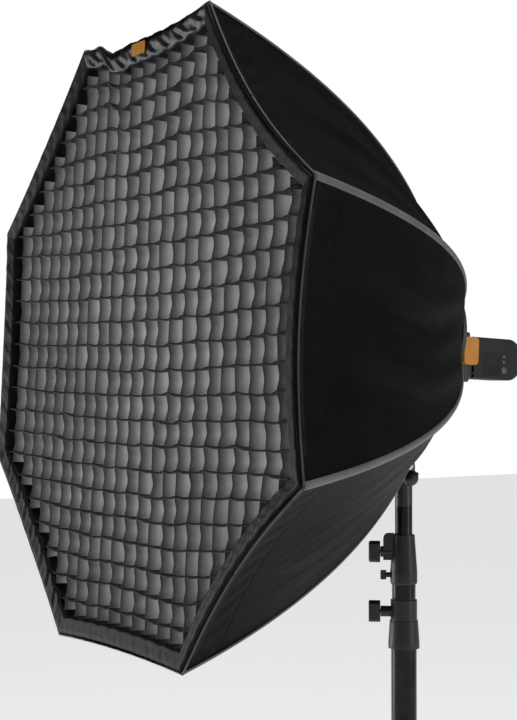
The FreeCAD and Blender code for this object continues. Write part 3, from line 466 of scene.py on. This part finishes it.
for node, look in NODE_LOOKS.items():
    shown = frame["nodes"][node]
    if not shown.data.materials:
        shown.data.materials.append(look)
    for slot in shown.material_slots:
        slot.material = look

# ---------------------------------------------------------------- fabric shell

SHEET = 0.0012  # the nylon's thickness
TAPE_HALF, TAPE_DOME = 0.0062, 0.0028
SEGMENTS = [0.0, 0.06, 0.14, 0.24, 0.36, 0.5, LENGTH]
HEM = 0.066


def rod_of(facet, side):
    """The rod on one side of a facet (facets and rods are numbered from +x towards +z)."""
    return (facet - 2) % 8 + 1 if side < 0 else facet


def fold_with_rod(piece, rod):
    """The fabric beside a rod rides that rod, with a mesh of its own."""
    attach(piece, f"rod_{rod}")
    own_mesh(piece)


def gore(facet):
    """One panel: hemmed at the front, sewn to its two rods, lightly slack between them."""
    angle = 45 * (facet - 1)
    s = np.unique(np.concatenate([
        np.linspace(0, 0.08, 33), np.linspace(0.08, LENGTH, 64), SEGMENTS]))[:, None]
    w = np.linspace(-1, 1, 61)[None, :]
    flat = shell(angle, s, w)
    n = grid_normals(flat)
    radius, _ = ridge(along(s))
    side = w * radius * math.sin(HALF)
    middle = 1 - w**2
    hem = np.clip(1 - (s / HEM) ** 4, 0, 1)
    body = np.clip((s - HEM) / 0.1, 0, 1) * np.clip((LENGTH - s) / 0.1, 0, 1)
    tight = 0.007 * middle * np.sin(np.pi * np.clip(s / LENGTH, 0, 1))
    tight = tight + bow(facet, w) * np.exp(-((s / 0.16) ** 2))
    folds = wrinkle(side, s, 40 + facet, [(0.13, 0.6, 0.0034), (0.061, 0.4, 0.0014), (0.027, 0.3, 0.0004)])
    puckers = wrinkle(side, s, 60 + facet, [(0.043, 0.07, 0.0011), (0.016, 0.04, 0.0005)])
    seam = 0.0013 * np.exp(-((s - HEM) / 0.0016) ** 2)
    rise = -tight + folds * body * middle + puckers * hem * np.minimum(1, middle * 4) - seam
    points = flat + n * rise[..., None]
    normals = grid_normals(points)
    metres = np.stack(np.broadcast_arrays(side, s), -1)
    centre = w.shape[1] // 2
    for sign, cols in ((-1, slice(0, centre + 1)), (1, slice(centre, None))):
        for m, (low, high) in enumerate(zip(SEGMENTS, SEGMENTS[1:])):
            rows = np.flatnonzero((s[:, 0] >= low - 1e-9) & (s[:, 0] <= high + 1e-9))
            part = points[rows][:, cols]
            part_n = normals[rows][:, cols]
            uv = metres[rows][:, cols].reshape(-1, 2)
            arrays = sheet_arrays(world(part), part_n @ TURN.T, SHEET)
            label = "left" if sign < 0 else "right"
            piece = build(f"gore_{facet}_{label}_{m + 1}", [arrays], NYLON, np.concatenate([uv, uv]))
            rod = rod_of(facet, sign)
            fold_with_rod(piece, rod)
            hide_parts(f"gore_{facet}")


for facet in range(1, 9):
    gore(facet)


def ridge_points(rod, s):
    """The corner seam over a rod, and the outward direction at each point."""
    radius, depth = ridge(along(s))
    slope = np.arctan2(np.gradient(depth), -np.gradient(radius))
    a = math.radians(22.5 + 45 * (rod - 1))
    points = np.stack([radius * math.cos(a), depth, radius * math.sin(a) + lift(radius)], -1)
    up = np.stack([np.sin(slope) * math.cos(a), np.cos(slope), np.sin(slope) * math.sin(a)], -1)
    return world(points), up @ TURN.T


def ridge_tape(rod):
    """Reflective tape sewn over a corner seam, lightly domed."""
    s = np.linspace(0.001, LENGTH - 0.002, 90)
    path, up = ridge_points(rod, s)
    dome = [(TAPE_HALF * math.cos(a), TAPE_DOME * math.sin(a) - 0.0012) for a in np.linspace(0, np.pi, 9)]
    section = dome + [(-TAPE_HALF, -0.0026), (TAPE_HALF, -0.0026)]
    piece = build(f"ridge_tape_{rod}", [tube(path, section, up)], PIPING)
    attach(piece, f"rod_{rod}")


for rod in range(1, 9):
    ridge_tape(rod)

# ---------------------------------------------------------------- front rim


def facet_point(angle, out, across, depth):
    """A box-frame point from its distance out from the middle and its distance across a facet."""
    a = math.radians(angle)
    return np.stack(np.broadcast_arrays(
        out * math.cos(a) - across * math.sin(a), depth,
        out * math.sin(a) + across * math.cos(a)), -1)


def fold_with_front(piece, facet):
    """A rim band rides its front edge, with a mesh of its own."""
    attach(piece, f"front_{facet}")
    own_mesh(piece)


WEDGE = 11.25  # degrees
WEDGES = 4  # in each facet


def fold_with_panel(piece):
    """The front cloth rides the front panel, with a mesh of its own."""
    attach(piece, "front_panel")
    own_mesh(piece)


GRID_PITCH = 0.0394
RIM_STRIP, RIM_THICK = 0.078, 0.0016  # the width that a binding is cut to, and its thickness
WELT_RADIUS = 0.0017
RIM_PATH = [  # (distance out, depth) round the binding, from outside the rim to behind the grid
    (0.4886, 0.012), (0.4900, 0.004), (0.4902, -0.0010), (0.4880, -0.0040), (0.4835, -0.0050),
    (0.4770, -0.0030), (0.4690, -0.0008), (0.4635, 0.0002), (0.4610, 0.0040), (0.4602, 0.0120),
    (0.4600, 0.0400),
]


def rim_band(facet):
    """The puckered binding that turns in from the rim and holds the grid."""
    angle = 45 * (facet - 1)
    path = np.array(RIM_PATH)
    knots = np.linspace(0, 1, len(path))
    v = np.linspace(0, 1, 34)
    out = np.interp(v, knots, path[:, 0])[:, None]
    depth = np.interp(v, knots, path[:, 1])[:, None]
    for _ in range(3):
        out[1:-1] = (out[:-2] + 2 * out[1:-1] + out[2:]) / 4
        depth[1:-1] = (depth[:-2] + 2 * depth[1:-1] + depth[2:]) / 4
    w = np.linspace(-1, 1, 121)[None, :]
    across = w * out * math.tan(HALF)
    seen = np.sin(np.pi * np.clip(v, 0, 1))[:, None]
    loose = 1.0 if facet == 3 else 0.45
    puckers = loose * wrinkle(across, out * 6, 80 + facet, [
        (0.037, 0.3, 0.0014), (0.021, 0.2, 0.0009), (0.0093, 0.1, 0.0004)])
    ends = np.clip((1 - np.abs(w)) * 14, 0, 1)
    scallop = 0.0018 * np.sin(2 * np.pi * across / GRID_PITCH) * np.clip((v[:, None] - 0.6) * 3, 0, 1)
    drawn = bow(facet, w)
    points = facet_point(angle, out + scallop * ends - drawn, w * (out - drawn) * math.tan(HALF),
                         depth - puckers * seen * ends)
    n = grid_normals(points)
    away = points - facet_point(angle, 0.472, 0.0, 0.012)
    if (n * away).sum() < 0:
        points, n = points[:, ::-1], -n[:, ::-1]
        across = across[:, ::-1]
    arrays = sheet_arrays(world(points), n @ TURN.T, RIM_THICK)
    uv = np.stack(np.broadcast_arrays(across, out), -1).reshape(-1, 2)
    # painted highlight: the top facet's binding gets the bluer, glossier copy.
    piece = build(f"rim_band_{facet}", [arrays], BINDING_PAINTED_SHEEN if facet == 3 else BINDING, np.concatenate([uv, uv]))
    fold_with_front(piece, facet)
    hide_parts(f"front_edge_{facet}")


for facet in range(1, 9):
    rim_band(facet)


def rim_welt(facet):
    """The thin welt along the fabric's front edge, in two halves that close with the rods."""
    angle = 45 * (facet - 1)
    for sign, label in ((-1, "left"), (1, "right")):
        w = np.linspace(0, 1, 30) * sign
        out = APOTHEM + 0.0004 - bow(facet, w)
        points = facet_point(angle, out, w * out * math.tan(HALF), np.full(30, 0.0006))
        up = np.tile(direction((0, -1, 0)), (30, 1))
        turns = np.linspace(0, 2 * np.pi, 9)[:-1]
        ring = [(WELT_RADIUS * math.cos(a), WELT_RADIUS * math.sin(a)) for a in turns]
        piece = build(f"rim_welt_{facet}_{label}", [tube(world(points), ring, up)], WELT)
        fold_with_rod(piece, rod_of(facet, sign))


for facet in range(1, 9):
    rim_welt(facet)

# ---------------------------------------------------------------- louvre grid

GRID_EDGE = 0.4585  # from the middle to the middle of a side
GRID_FRONT, GRID_DEEP = 0.004, 0.040
GRID_SAG = 0.011
HEM_DEEP = 0.006
STEPS_IN_CELL = 8
LINES = int(GRID_EDGE / GRID_PITCH)
steps = np.arange(-LINES - 1, LINES + 2)
uneven_x = rng.normal(0, 0.0011, (len(steps), len(steps)))
uneven_z = rng.normal(0, 0.0013, (len(steps), len(steps)))
bulge = rng.uniform(0.0018, 0.0052, (len(steps), len(steps)))
bulge = bulge * np.where(rng.random((len(steps), len(steps))) < 0.8, 1, -0.6)
dip = rng.uniform(0.0004, 0.0026, (len(steps), len(steps)))


def limit(at):
    """Half the length of a lattice strip at an offset from the middle of the octagon."""
    return min(GRID_EDGE, GRID_EDGE * math.sqrt(2) - abs(at))


def sag_of(x, z):
    """How far the lattice droops in the middle of the panel."""
    return -GRID_SAG * np.clip(1 - (x / GRID_EDGE) ** 2, 0, 1) * np.clip(1 - (z / GRID_EDGE) ** 2, 0, 1)


def lattice_strip(number, upright):
    """Box-frame points (length, depth) of one strip, and the wedge that each step belongs to."""
    at = number * GRID_PITCH
    reach = limit(at)
    cells = np.arange(-reach, reach, GRID_PITCH / STEPS_IN_CELL)
    run = np.unique(np.concatenate([cells, [reach]]))
    depth = np.array([0, 0.1, 0.25, 0.5, 0.75, 1.0])
    row = number + LINES + 1
    cell = np.clip(np.floor(run / GRID_PITCH).astype(int) + LINES + 1, 0, len(steps) - 2)
    part = run / GRID_PITCH - np.floor(run / GRID_PITCH)
    blend = part * part * (3 - 2 * part)
    belly = np.sin(np.pi * part) ** 2
    near_end = np.clip((reach - np.abs(run)) / 0.03, 0, 1)
    if upright:
        jitter = uneven_x[row, cell] * (1 - blend) + uneven_x[row, cell + 1] * blend
        swell = bulge[row, cell] * belly
    else:
        jitter = uneven_z[cell, row] * (1 - blend) + uneven_z[cell + 1, row] * blend
        swell = -dip[cell, row] * belly
    profile = 0.55 + 0.45 * np.cos(np.pi * (depth - 0.25))
    offset = (jitter * near_end)[:, None] * (1 - 0.6 * depth)
    offset = offset + (swell * near_end)[:, None] * profile
    y = GRID_FRONT + GRID_DEEP * depth[None, :] + 0 * run[:, None]
    y = y + (0.0012 * np.sin(np.pi * part) ** 2 * near_end)[:, None] * (1 - depth)
    if upright:
        x, z = at + offset, run[:, None] + 0 * y
    else:
        x, z = run[:, None] + 0 * y, at + offset
    z = z + sag_of(x, z)
    x = x + 0 * y
    points = np.stack([x, y, z], -1)
    middle = (run[:-1] + run[1:]) / 2
    px, pz = (at + 0 * middle, middle) if upright else (middle, at + 0 * middle)
    wedge = np.floor((np.degrees(np.arctan2(pz, px)) + 22.5) / WEDGE).astype(int) % (8 * WEDGES)
    return points, wedge, run, depth


def lattice():
    """Sheet arrays and total length of the strips in each wedge, by direction."""
    held = {(wedge, upright): [] for wedge in range(8 * WEDGES) for upright in (True, False)}
    length = dict.fromkeys(held, 0.0)
    for upright in (True, False):
        for number in range(-LINES, LINES + 1):
            points, wedge, run, depth = lattice_strip(number, upright)
            points = drawn_in(points)
            normals = grid_normals(points)
            hem = (0.0008 if upright else 0.0020) * np.exp(-((depth * GRID_DEEP / HEM_DEEP) ** 2))
            thick = (0.0010 + hem)[None, :, None]
            edges = np.flatnonzero(np.diff(wedge)) + 1
            for low, high in zip([0, *edges], [*edges, len(wedge)]):
                part, n = points[low:high + 1], normals[low:high + 1]
                uv = np.stack(np.broadcast_arrays(run[low:high + 1, None], depth[None, :] * GRID_DEEP), -1)
                owner = (int(wedge[low]), upright)
                arrays = sheet_arrays(world(part + n * thick / 2), n @ TURN.T, thick)
                held[owner].append((arrays, uv.reshape(-1, 2)))
                length[owner] += float(run[high] - run[low])
    return held, length


held, length = lattice()
for (wedge, upright), strips in held.items():
    # painted light: the uprights get the light grey copy of the louvre fabric, the levels its black.
    name, look = ("louvre_uprights", LOUVRE_PAINTED_LIGHT) if upright else ("louvre_levels", LOUVRE_DARK)
    facet, part = wedge // WEDGES + 1, wedge % WEDGES + 1
    uv = np.concatenate([np.concatenate([c, c]) for _, c in strips])
    piece = build(f"{name}_{facet}_{part}", [p for p, _ in strips], look, uv)
    fold_with_panel(piece)
    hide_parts("grid")

# ---------------------------------------------------------------- diffuser


def diffuser_wedge(wedge):
    """One narrow triangle of the white cloth behind the grid."""
    facet, part = wedge // WEDGES + 1, wedge % WEDGES
    edge = math.tan(math.radians(WEDGE)) / math.tan(HALF)
    sides = [-1, -edge, 0, edge, 1]
    out = np.concatenate([[0.0008], np.linspace(0.02, DIFFUSER_REACH - 0.002, 46)])[:, None]
    w = np.linspace(sides[part], sides[part + 1], 11)[None, :]
    across = w * out * math.tan(HALF)
    ripple = wrinkle(across, out, 120, [(0.13, 0.4, 0.0006)]) * (1 - w**2)
    depth = DIFFUSER_DEPTH + ripple * np.clip(out / 0.1, 0, 1) + 0 * w
    points = drawn_in(facet_point(45 * (facet - 1), out + 0 * w, across, depth))
    n = grid_normals(points)
    if (n[..., 1]).mean() > 0:
        points, n = points[:, ::-1], -n[:, ::-1]
    arrays = sheet_arrays(world(points), n @ TURN.T, DIFFUSER_THICK)
    uv = np.stack(np.broadcast_arrays(across, out + 0 * w), -1).reshape(-1, 2)
    piece = build(f"diffuser_{facet}_{part + 1}", [arrays], DIFFUSER, np.concatenate([uv, uv]))
    fold_with_panel(piece)
    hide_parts("diffuser")


for wedge in range(8 * WEDGES):
    diffuser_wedge(wedge)

# ---------------------------------------------------------------- pull tab


def pull_tab():
    """A short tab of amber webbing sewn to the top of the rim."""
    low, high, half, thick = 0.4700, 0.4895, 0.0215, 0.0022
    v = np.linspace(0, 1, 25)[:, None]
    w = np.linspace(-1, 1, 31)[None, :]
    out = low + (high - low) * v
    across = half * w * (1 - 0.06 * np.abs(2 * v - 1) ** 4)
    depth = -0.0066 - 0.0012 * np.sin(np.pi * v) * (1 - w**4) + 0.0004 * np.cos(9 * w)
    points = facet_point(90, out - bow(3, 0.0) + 0 * w, across, depth)
    n = grid_normals(points)
    if n[..., 1].mean() > 0:
        points, n = points[:, ::-1], -n[:, ::-1]
    arrays = sheet_arrays(world(points), n @ TURN.T, thick)
    uv = np.stack(np.broadcast_arrays(across, out), -1).reshape(-1, 2)
    piece = build("amber_pull_tab", [arrays], AMBER_WEB, np.concatenate([uv, uv]))
    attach(piece, "front_3")
    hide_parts("pull_tab")


pull_tab()

# ---------------------------------------------------------------- rear cuff


def rear_cuff():
    """The gathered elastic sleeve between the fabric's root and the hub ring."""
    a = np.linspace(0, 2 * np.pi, 289)[None, :]
    v = np.linspace(0, 1, 16)[:, None]
    facets = np.abs((np.degrees(a) + 22.5) % 45 - 22.5) / 22.5
    outer = ROOT * FLAT / np.cos(np.radians(22.5 * facets))
    blend = np.clip((v - 0.2) / 0.6, 0, 1)
    step = np.interp(v, [0, 0.35, 0.6, 1], [0.0054, -0.0014, -0.0045, -0.0045])
    radius = (outer + step) * (1 - blend) + 0.1108 * blend
    gather = 0.0011 * np.sin(48 * a + 0.8 * np.sin(5 * a)) * np.clip(3 * (v - 0.4), 0, 1) * (1 - v)
    depth = np.interp(v, [0, 0.35, 0.6, 1], [0.5748, 0.5791, 0.5850, 0.5925]) + gather
    points = np.stack([radius * np.cos(a), depth, radius * np.sin(a) + RISE - 0.002 * (1 - v)], -1)
    n = grid_normals(points)
    if n[..., 1].mean() < 0:
        points, n = points[::-1], -n[::-1]
    arrays = sheet_arrays(world(points), n @ TURN.T, 0.001)
    piece = build("rear_cuff", [arrays], NYLON, np.zeros((len(arrays[0]), 2)))
    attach(piece, "hub")


rear_cuff()

# ---------------------------------------------------------------- studio

FILL = 0.11  # how strongly the surroundings light the object
FLOOR_SIDE = 14

camera = bpy.data.objects.new("camera", bpy.data.cameras.new("camera"))
camera.location = (2.1036, -1.6806, 1.4094)
camera.rotation_euler = (math.radians(90.588), math.radians(0.055), math.radians(56.855))
camera.data.lens = 75.54
camera.data.sensor_width = 36
bpy.context.scene.collection.objects.link(camera)
bpy.context.scene.camera = camera
bpy.context.scene.view_settings.view_transform = "Standard"

floor_mesh = bpy.data.meshes.new("floor")
floor_corners = [(x * FLOOR_SIDE, y * FLOOR_SIDE, -0.0005) for x, y in ((-1, -1), (1, -1), (1, 1), (-1, 1))]
floor_mesh.from_pydata(floor_corners, [], [(0, 1, 2, 3)])
floor_mat, _, _, floor_shader = new_material("pale_floor", (0.5, 0.5, 0.5), 0.9, 0.05)
floor_shader.inputs["Emission Color"].default_value = (1, 1, 1, 1)
floor_shader.inputs["Emission Strength"].default_value = 0.7
floor_mesh.materials.append(floor_mat)
floor = bpy.data.objects.new("floor", floor_mesh)
bpy.context.scene.collection.objects.link(floor)

sky = bpy.data.worlds.new("studio")
bpy.context.scene.world = sky
sky.use_nodes = True
nodes, links = sky.node_tree.nodes, sky.node_tree.links
path = nodes.new("ShaderNodeLightPath")
level = nodes.new("ShaderNodeMapRange")
level.inputs["To Min"].default_value = FILL
level.inputs["To Max"].default_value = 1.0
links.new(path.outputs["Is Camera Ray"], level.inputs["Value"])
nodes["Background"].inputs["Color"].default_value = (1, 1, 1, 1)
links.new(level.outputs["Result"], nodes["Background"].inputs["Strength"])


def area_light(name, location, target, size, power):
    """A soft rectangular lamp aimed at a point."""
    light = bpy.data.lights.new(name, "AREA")
    light.shape = "RECTANGLE"
    light.size, light.size_y = size
    light.energy = power
    lamp = bpy.data.objects.new(name, light)
    lamp.location = location
    lamp.rotation_euler = (Vector(target) - Vector(location)).to_track_quat("-Z", "Y").to_euler()
    bpy.context.scene.collection.objects.link(lamp)


area_light("overhead", (0.6, -0.6, 4.2), (0, -0.2, 1.2), (2.4, 2.4), 70)
area_light("left_strip", (-2.9, -2.2, 0.9), (0, 0, 0.9), (0.5, 2.0), 45)
area_light("right_strip", (3.4, 1.8, 1.7), (0, 0, 1.3), (0.6, 2.2), 30)

bpy.context.view_layer.update()
